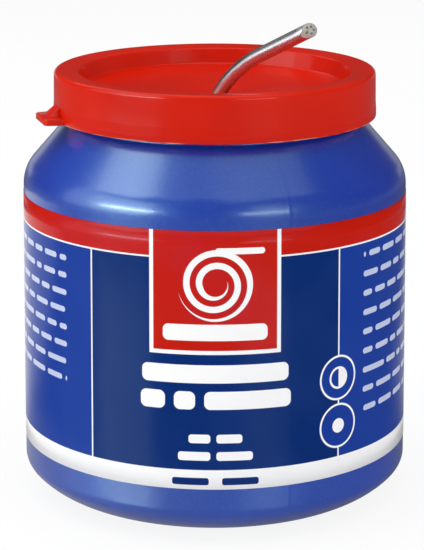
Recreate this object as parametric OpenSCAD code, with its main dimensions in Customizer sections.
// Cored solder wire in its dispenser jar. A blow-moulded jar with a wrap-round
// label carries a push-on lid with a lift tab. A loose coil of solder wire
// stands in the jar, and the wire is drawn up its hollow and out of the lid.
// Millimetres, +Z up. The origin is the centre of the base, on the table, and
// the front of the label faces -Y.

/* [Jar] */
// Radius over the label at its lower edge
body_bottom_r = 40.6; // [37:0.1:46]
// Radius over the label at its upper edge
body_top_r = 40; // [37:0.1:46]
// Thickness of the moulded wall
jar_wall = 1.3; // [0.9:0.1:1.8]
// Width of the flat ring that the jar stands on
foot_w = 1.5; // [1:0.1:4]
// Height of the pushed-up middle of the base
kick_h = 2.2; // [1:0.1:4]
// Slope of the step from the foot up to the middle of the base
kick_slope = 54; // [35:1:75]
// Radius of the soft curve that rises from the foot
belly_r = 15.5; // [10:0.1:20]
// Slope at which the soft curve meets the base corner
belly_slope = 48; // [30:1:65]
// Radius of the base corner
base_corner_r = 3.6; // [2.5:0.1:8]
// Bare wall between the label and the shoulder
shoulder_gap = 1.4; // [0.5:0.1:8]
// Radius of the shoulder corner
shoulder_r = 7.8; // [4:0.1:10]
// Slope of the shoulder
shoulder_slope = 49; // [38:1:58]
// Outer radius of the neck
neck_r = 30.7; // [28:0.1:33]
// Height of the neck from the shoulder to the mouth
neck_h = 8.6; // [7:0.1:14]
// How far the snap bead stands out of the neck
neck_bead = 0.9; // [0.5:0.1:1.1]

/* [Label] */
// Height of the label's lower edge above the table
label_z = 11.8; // [9:0.1:20]
// Height of the label
label_h = 52.4; // [40:0.1:70]
// Thickness of the label film
label_t = 0.15; // [0.1:0.01:0.3]

/* [Lid] */
// Height of the lid from its lower edge to the crest of its ring
lid_h = 9.6; // [8.2:0.1:10.5]
// Thickness of the lid's skirt
lid_wall = 1.3; // [1:0.1:2]
// Room between the neck and the skirt, for the snap beads
lid_room = 1.4; // [1.3:0.05:2]
// Height of the ring's crest above the jar's mouth
ring_t = 1.65; // [1.4:0.05:3]
// How far the ring falls from its crest to its inner edge
ring_fall = 0.45; // [0:0.05:0.8]
// Radius of the ring's outer edge
ring_round = 1; // [0.4:0.1:1.2]
// Radius of the ring's inner edge
recess_round = 0.4; // [0.2:0.05:0.6]
// Thickness of the plug wall that seals in the neck
plug_wall = 1.2; // [0.9:0.1:2]
// Depth of the recess below the ring's inner edge
recess_depth = 3.25; // [2.5:0.05:5]
// How much smaller the recess is at its floor than at its edge, in radius
recess_draft = 1.1; // [0.3:0.1:2]
// Radius of the hollow corner between the recess wall and its floor
recess_fillet = 0.7; // [0.3:0.1:1.5]
// How far the floor dishes from its rim down to the wire hole
floor_dish = 2.2; // [1:0.1:3]
// Thickness of the floor
floor_t = 1.2; // [0.8:0.1:2]
// Height of the raised band along the skirt's lower edge
band_h = 1.5; // [0.8:0.1:3]
// How far the band stands out, and how much the skirt narrows to its top
band_t = 0.12; // [0.05:0.01:0.3]
// Height of the lid's snap bead above its lower edge
lid_bead_h = 1.6; // [1.2:0.1:2.2]
// How much the plug narrows towards its lower end, in radius
plug_lead = 1.1; // [0.4:0.1:1.4]
// Height of the narrowing lower end of the plug
plug_lead_h = 1.6; // [1.3:0.1:2.4]

/* [Lift tab] */
// Direction of the tab around the lid, from +X
tab_angle = 196; // [0:1:359]
// Width of the tab at its tip
tab_w = 9; // [7:0.1:14]
// Angle at which each side of the tab widens towards the skirt
tab_flare = 10; // [2:1:20]
// How far the tab reaches beyond the skirt
tab_reach = 3.6; // [2.8:0.1:6]
// Thickness of the tab
tab_t = 1.3; // [0.8:0.1:2]
// Cut-off at the tab's two corners
tab_corner = 0.6; // [0.3:0.1:2.5]
// Width of the wedge that stiffens the tab, at its foot
gusset_w = 5.6; // [4.4:0.1:6.8]
// Width of the wedge at its top
gusset_top_w = 4.1; // [2:0.1:4.3]
// Reach of the wedge beyond the skirt
gusset_reach = 2.1; // [1:0.1:2.6]
// Height of the wedge above the tab
gusset_h = 2; // [1:0.1:3.5]

/* [Solder coil] */
// Diameter of the solder wire
wire_d = 3; // [2.4:0.1:3.2]
// Layers of wire in the coil, from its hollow to its outside
coil_layers = 5; // [3:1:5]
// Height of the coil
coil_h = 36; // [24:0.5:40]
// Room between the coil and the jar's mouth when it is put in
coil_mouth_gap = 1.2; // [0.6:0.1:4]
// Open space left between neighbouring turns
turn_gap = 0.5; // [0.45:0.05:1]
// Radius of the bend where the wire turns up the middle of the coil
lead_bend_r = 8; // [6:0.5:8]

/* [Free end] */
// Direction in which the free end leans, from +X
lean_angle = -35; // [-180:1:180]
// Depth below the hole's upper edge at which the wire starts to lean
lean_start = 2.9; // [2.2:0.1:4]
// Radius of the first bend
bend_1_r = 6; // [5.5:0.1:8]
// Slope of the wire after the first bend
bend_1_slope = 53.4; // [45:0.1:60]
// Length of the straight stretch between the bends
between_l = 1; // [0.5:0.1:6]
// Radius of the second bend
bend_2_r = 27.4; // [15:0.1:30]
// Slope of the wire after the second bend
bend_2_slope = 27; // [15:0.5:40]
// How much thinner the wire is where it has been bent
bend_thinning = 0.02; // [0.01:0.01:0.06]
// Length of the last straight stretch, to the middle of the cut
last_l = 13.3; // [9:0.1:14]
// Tilt of the cut from square
cut_tilt = 25; // [5:1:35]
// Tilt of the pinched facet that the cutter leaves
pinch_tilt = 58; // [45:1:65]
// Turn of the pinched facet round the wire
pinch_turn = 20; // [-40:1:40]
// Distance of the pinched facet from the wire's middle
pinch_offset = 0.7; // [0.4:0.05:1]
// Number of flux cores in the wire
core_count = 5; // [3:1:5]
// Diameter of a flux core
core_d = 0.46; // [0.3:0.02:0.5]
// Radius of the circle on which the cores lie
core_ring_r = 0.75; // [0.6:0.05:0.9]
// Length of core shown in the last straight stretch
core_l = 7; // [4:0.5:8]
// How far the flux lies below the metal's cut face
flux_drop = 0.12; // [0.05:0.01:0.3]

/* [Clearances] */
// Gap between pieces that rest on each other
seat_gap = 0.05; // [0.02:0.01:0.1]
// Radial clearance between the lid's plug and the neck
plug_fit = 0.1; // [0.05:0.01:0.1]
// Radial clearance between the two snap beads as they pass
bead_fit = 0.1; // [0.05:0.01:0.15]
// Room round the wire in the lid's hole
hole_room = 1.2; // [1.1:0.05:2]
// Clearance between the turns and the jar's floor
turn_floor_gap = 0.3; // [0.3:0.05:1]
// Clearance between the outer turns and the plain inner layers
turn_core_gap = 0.1; // [0.05:0.01:0.3]
// Radial clearance between a flux core and its bore
core_fit = 0.02; // [0.01:0.005:0.03]

/* [Hidden] */
$fn = 96;
eps = 0.01;
arc_steps = 10;

// Jar
function body_r(z) = body_bottom_r + (body_top_r - body_bottom_r) * (z - label_z) / label_h;
function wall_r(z) = body_r(z) - label_t;
corner_z = belly_r * (1 - cos(belly_slope)) + base_corner_r * cos(belly_slope);
corner_cx = wall_r(corner_z) - base_corner_r;
foot_r = corner_cx + (base_corner_r - belly_r) * sin(belly_slope);
foot_in_r = foot_r - foot_w;
kick_r = foot_in_r - kick_h / tan(kick_slope);
shoulder_z = label_z + label_h + shoulder_gap;
shoulder_cx = wall_r(shoulder_z) - shoulder_r;
function shoulder_end_r(t) = shoulder_cx + (shoulder_r - t) * sin(shoulder_slope);
function shoulder_end_z(t) = shoulder_z + (shoulder_r - t) * cos(shoulder_slope);
function neck_foot_z(t) =
    shoulder_end_z(t) + (shoulder_end_r(t) - neck_r + t) * tan(shoulder_slope);
mouth_z = neck_foot_z(0) + neck_h;
neck_bore_r = neck_r - jar_wall;
jar_floor_z = kick_h + jar_wall;

// Lid
lid_seat_z = mouth_z + seat_gap;
crest_z = lid_seat_z + ring_t;
lid_z = crest_z - lid_h;
skirt_in_r = neck_r + lid_room;
skirt_r = skirt_in_r + lid_wall;
lid_bead = lid_room - neck_bead - bead_fit;
lid_bead_z = lid_z + lid_bead_h;
neck_bead_z = lid_bead_z + neck_bead + lid_bead;
plug_r = neck_bore_r - plug_fit;
recess_r = plug_r - plug_wall;
recess_floor_r = recess_r - recess_draft;
recess_edge_z = crest_z - ring_fall;
recess_z = recess_edge_z - recess_depth;
hole_r = wire_d / 2 + hole_room;
hole_z = recess_z - floor_dish;
tab_root_r = skirt_r - lid_wall / 2;

// Solder coil
coil_r = neck_bore_r - coil_mouth_gap;
coil_bore_r = coil_r - coil_layers * wire_d;
coil_z = jar_floor_z + seat_gap;
coil_top_z = coil_z + coil_h;
outer_turn_r = coil_r - wire_d / 2;
inner_turn_r = coil_bore_r + wire_d / 2;
first_turn_z = coil_z + turn_floor_gap + wire_d / 2;
top_turn_z = coil_top_z - wire_d / 2;
turn_pitch = wire_d + turn_gap;
side_turns = floor((top_turn_z - first_turn_z) / turn_pitch);
side_pitch = (top_turn_z - first_turn_z) / side_turns;
top_steps = floor((outer_turn_r - inner_turn_r) / turn_pitch);
top_pitch = (outer_turn_r - inner_turn_r) / top_steps;
wound_turns = side_turns + top_steps + 0.5;
rings_per_turn = 24;
tube_sides = 6;
chord_sag = outer_turn_r * (1 - cos(180 / rings_per_turn));
core_outer_r = outer_turn_r - wire_d / 2 - chord_sag - turn_core_gap;
core_top_z = coil_top_z - wire_d - turn_core_gap;
tail_rings = 10;
tail_angle = 360 * wound_turns;
tail_plan_r = (pow(inner_turn_r, 2) - pow(lead_bend_r, 2)) / (2 * inner_turn_r);
tail_sweep = 180 - atan(lead_bend_r / tail_plan_r);
tail_top_z = top_turn_z + lead_bend_r + wire_d;

// Free end
riser_z = tail_top_z + seat_gap;
lean_z = hole_z - lean_start;
bend_1_end = [bend_1_r * (1 - sin(bend_1_slope)), lean_z + bend_1_r * cos(bend_1_slope)];
bend_2_start = bend_1_end + between_l * [cos(bend_1_slope), sin(bend_1_slope)];
bend_2_centre = bend_2_start + bend_2_r * [sin(bend_1_slope), -cos(bend_1_slope)];
bend_2_end = bend_2_centre + bend_2_r * [-sin(bend_2_slope), cos(bend_2_slope)];
cut_overrun = wire_d;
cutter = 4 * wire_d;
bend_lap = 0.1;

// Points of an arc about a centre in the profile plane
function arc(centre, r, from, to, steps = arc_steps) =
    [for (i = [0:steps]) let (a = from + (to - from) * i / steps)
        centre + r * [cos(a), sin(a)]];

// One side of the jar's wall from its axis to its neck, set in by t
function jar_side(t) = concat(
    [[0, kick_h + t],
     [kick_r + t * tan(kick_slope / 2), kick_h + t],
     [foot_in_r + t * tan(kick_slope / 2), t]],
    arc([foot_r, belly_r], belly_r - t, -90, belly_slope - 90),
    arc([corner_cx, corner_z], base_corner_r - t, belly_slope - 90, 0),
    arc([shoulder_cx, shoulder_z], shoulder_r - t, 0, 90 - shoulder_slope),
    [[neck_r - t, neck_foot_z(t)]]
);

function reversed(list) = [for (i = [len(list) - 1:-1:0]) list[i]];

module jar() {
    color("RoyalBlue")
        rotate_extrude()
            polygon(concat(
                jar_side(0),
                arc([neck_r, neck_bead_z], neck_bead, -90, 90),
                [[neck_r, mouth_z], [neck_bore_r, mouth_z]],
                reversed(jar_side(jar_wall))
            ));
}

module label() {
    label_top_z = label_z + label_h;
    color("MidnightBlue")
        rotate_extrude()
            polygon([
                [wall_r(label_z), label_z],
                [body_r(label_z), label_z],
                [body_r(label_top_z), label_top_z],
                [wall_r(label_top_z), label_top_z]
            ]);
}

// Skirt, sealing plug and recessed floor, in one moulding
module lid_shell() {
    top_r = skirt_r - 2 * band_t;
    rotate_extrude()
        polygon(concat(
            [[skirt_r, lid_z],
             [skirt_r, lid_z + band_h],
             [skirt_r - band_t, lid_z + band_h + band_t]],
            arc([top_r - ring_round, crest_z - ring_round], ring_round, 0, 90),
            arc([recess_r + recess_round, recess_edge_z - recess_round], recess_round, 90, 180),
            arc([recess_floor_r - recess_fillet, recess_z + recess_fillet], recess_fillet, 0, -90),
            [[hole_r, hole_z],
             [hole_r, hole_z - floor_t],
             [plug_r - plug_lead, recess_z - floor_t],
             [plug_r, recess_z - floor_t + plug_lead_h],
             [plug_r, lid_seat_z],
             [skirt_in_r, lid_seat_z]],
            arc([skirt_in_r, lid_bead_z], lid_bead, 90, 270),
            [[skirt_in_r, lid_z]]
        ));
}

// Half the width of the tab at a radius
function tab_half_w(r) = tab_w / 2 + (skirt_r + tab_reach - r) * tan(tab_flare);

// The wedge on the tab: its side view and its front view, each drawn through the other
module tab_wedge() {
    translate([0, 0, lid_z + tab_t])
        intersection() {
            rotate([90, 0, 0])
                linear_extrude(tab_w, center = true)
                    polygon([
                        [tab_root_r, -tab_t / 2],
                        [skirt_r + gusset_reach, -tab_t / 2],
                        [skirt_r + gusset_reach, 0],
                        [skirt_r - band_t, gusset_h],
                        [tab_root_r, gusset_h]
                    ]);
            rotate([90, 0, 90])
                linear_extrude(skirt_r + tab_reach)
                    polygon([
                        [-gusset_w / 2, -tab_t],
                        [gusset_w / 2, -tab_t],
                        [gusset_w / 2, 0],
                        [gusset_top_w / 2, gusset_h],
                        [-gusset_top_w / 2, gusset_h],
                        [-gusset_w / 2, 0]
                    ]);
        }
}

module lift_tab() {
    tip_r = skirt_r + tab_reach;
    cut_r = tip_r - tab_corner;
    rotate([0, 0, tab_angle]) {
        translate([0, 0, lid_z])
            linear_extrude(tab_t)
                polygon([
                    [tab_root_r, -tab_half_w(tab_root_r)],
                    [cut_r, -tab_half_w(cut_r)],
                    [tip_r, tab_corner - tab_w / 2],
                    [tip_r, tab_w / 2 - tab_corner],
                    [cut_r, tab_half_w(cut_r)],
                    [tab_root_r, tab_half_w(tab_root_r)]
                ]);
        tab_wedge();
    }
}

module lid() {
    color("Red")
        union() {
            lid_shell();
            lift_tab();
        }
}

// The inner layers of the coil, as one plain ring
module coil_core() {
    color("Silver")
        translate([0, 0, coil_z])
            difference() {
                cylinder(r = core_outer_r, h = core_top_z - coil_z);
                translate([0, 0, -eps])
                    cylinder(r = coil_bore_r, h = core_top_z - coil_z + 2 * eps);
            }
}

// Whole turns up to an angle, with each step made in the quarter turn from start
function stepped(a, start) =
    let (turn = floor(a / 360))
    let (f = min(max((a - 360 * turn - start) / 90, 0), 1))
    turn + f * f * (3 - 2 * f);

// The wound wire's middle line, by the angle it has been wound through
function wound_point(a) =
    let (rise = min(stepped(a, 270), side_turns))
    let (inward = min(max(stepped(a - 360 * side_turns, 180), 0), top_steps))
    let (r = outer_turn_r - top_pitch * inward)
    [r * cos(a), r * sin(a), first_turn_z + side_pitch * rise];

// A stop on the wire's route: its point, its heading and its climb
function wound_stop(i) =
    let (a = 360 * i / rings_per_turn)
    let (along = wound_point(a + 1) - wound_point(a - 1))
    [wound_point(a), atan2(along[1], along[0]), atan(along[2] / norm([along[0], along[1]]))];

function about_axis(p, a) =
    [p[0] * cos(a) - p[1] * sin(a), p[0] * sin(a) + p[1] * cos(a), p[2]];

function tail_stop(i) =
    let (a = tail_sweep * i / tail_rings)
    [about_axis([inner_turn_r - tail_plan_r + tail_plan_r * cos(a),
                 tail_plan_r * sin(a), top_turn_z], tail_angle),
     tail_angle + a + 90, 0];

function rise_stop(i) =
    let (climb = 90 * i / tail_rings)
    let (reach = lead_bend_r * (sin(climb) - 1))
    let (heading = tail_angle + tail_sweep + 90)
    [[reach * cos(heading), reach * sin(heading),
      top_turn_z + lead_bend_r * (1 - cos(climb))], heading, climb];

turn_stops = concat(
    [[wound_point(0) - [0, wire_d, 0], 90, 0]],
    [for (i = [0:wound_turns * rings_per_turn - 1]) wound_stop(i)],
    [for (i = [0:tail_rings]) tail_stop(i)],
    [for (i = [1:tail_rings]) rise_stop(i)],
    [[[0, 0, tail_top_z], rise_stop(0)[1], 90]]
);

function stop_ring(stop) =
    let (h = stop[1])
    let (c = stop[2])
    let (across = [-sin(h), cos(h), 0])
    let (over = [-sin(c) * cos(h), -sin(c) * sin(h), cos(c)])
    [for (k = [0:tube_sides - 1]) let (a = 360 * k / tube_sides)
        stop[0] + wire_d / 2 * (cos(a) * across + sin(a) * over)];

// The wound outer and top turns with the tail that leads up the middle
module coil_turns() {
    last = len(turn_stops) - 1;
    function at(i, k) = i * tube_sides + k % tube_sides;
    color("Gainsboro")
        polyhedron(
            points = [for (stop = turn_stops) each stop_ring(stop)],
            faces = concat(
                [for (i = [0:last - 1], k = [0:tube_sides - 1])
                    [at(i, k), at(i, k + 1), at(i + 1, k)]],
                [for (i = [0:last - 1], k = [0:tube_sides - 1])
                    [at(i, k + 1), at(i + 1, k + 1), at(i + 1, k)]],
                [for (k = [1:tube_sides - 2]) [at(0, 0), at(0, k + 1), at(0, k)]],
                [for (k = [1:tube_sides - 2]) [at(last, 0), at(last, k), at(last, k + 1)]]
            )
        );
}

// Least space between stretches of the tube that are over half a turn apart
least_gap = min([for (i = [0:len(turn_stops) - 1], j = [i + rings_per_turn / 2:len(turn_stops) - 1])
    norm(turn_stops[i][0] - turn_stops[j][0])]) - wire_d;
echo(least_gap = least_gap, wound_turns = wound_turns);

// The straight wire between the coil and the lid's hole
module wire_riser() {
    color("Gainsboro")
        translate([0, 0, riser_z])
            cylinder(d = wire_d, h = lean_z - riser_z);
}

// A bend of the wire in the leaning plane, between two slopes
module wire_bend(centre, r, steep, flat) {
    translate([centre[0], 0, centre[1]])
        rotate([90, 0, 0])
            rotate([0, 0, 90 + flat])
                rotate_extrude(angle = steep - flat)
                    translate([r, 0])
                        circle(d = wire_d - bend_thinning);
}

// The straight stretch between the bends, which laps over the start of each
module between_bends() {
    translate([bend_1_end[0], 0, bend_1_end[1]])
        rotate([0, 90 - bend_1_slope, 0])
            translate([0, 0, -bend_lap])
                cylinder(d = wire_d, h = between_l + 2 * bend_lap);
}

// Puts its children at the middle of the cut, with +Z out along the wire
module at_cut() {
    rotate([0, 0, lean_angle])
        translate([bend_2_end[0], 0, bend_2_end[1]])
            rotate([0, 90 - bend_2_slope, 0])
                translate([0, 0, last_l])
                    children();
}

// The space outside the cut faces, with the faces set back by depth
module cut_away(depth) {
    rotate([cut_tilt, 0, 0])
        translate([-cutter / 2, -cutter / 2, -depth])
            cube(cutter);
    rotate([0, 0, pinch_turn])
        translate([0, -pinch_offset, -pinch_offset * tan(cut_tilt)])
            rotate([pinch_tilt, 0, 0])
                translate([-cutter / 2, -cutter / 2, -depth])
                    cube(cutter);
}

module core_rods(r, bottom) {
    for (i = [0:core_count - 1])
        rotate([0, 0, 360 * i / core_count])
            translate([core_ring_r, 0, bottom])
                cylinder(r = r, h = cut_overrun - bottom);
}

// The last straight stretch, cut off and with its cores left open
module cut_stretch() {
    at_cut()
        difference() {
            translate([0, 0, -last_l - bend_lap])
                cylinder(d = wire_d, h = last_l + bend_lap + cut_overrun);
            cut_away(0);
            core_rods(core_d / 2, -core_l);
        }
}

// The bent end that stands out of the lid, cut off with a side cutter
module wire_end() {
    color("Gainsboro") {
        rotate([0, 0, lean_angle]) {
            wire_bend([bend_1_r, lean_z], bend_1_r, 90, bend_1_slope);
            between_bends();
            wire_bend(bend_2_centre, bend_2_r, bend_1_slope, bend_2_slope);
        }
        cut_stretch();
    }
}

// The flux in the cut end, a little below the metal's face
module flux_cores() {
    color("Olive")
        at_cut()
            difference() {
                core_rods(core_d / 2 - core_fit, -core_l);
                cut_away(flux_drop);
            }
}

jar();
label();
lid();
coil_core();
coil_turns();
wire_riser();
wire_end();
flux_cores();
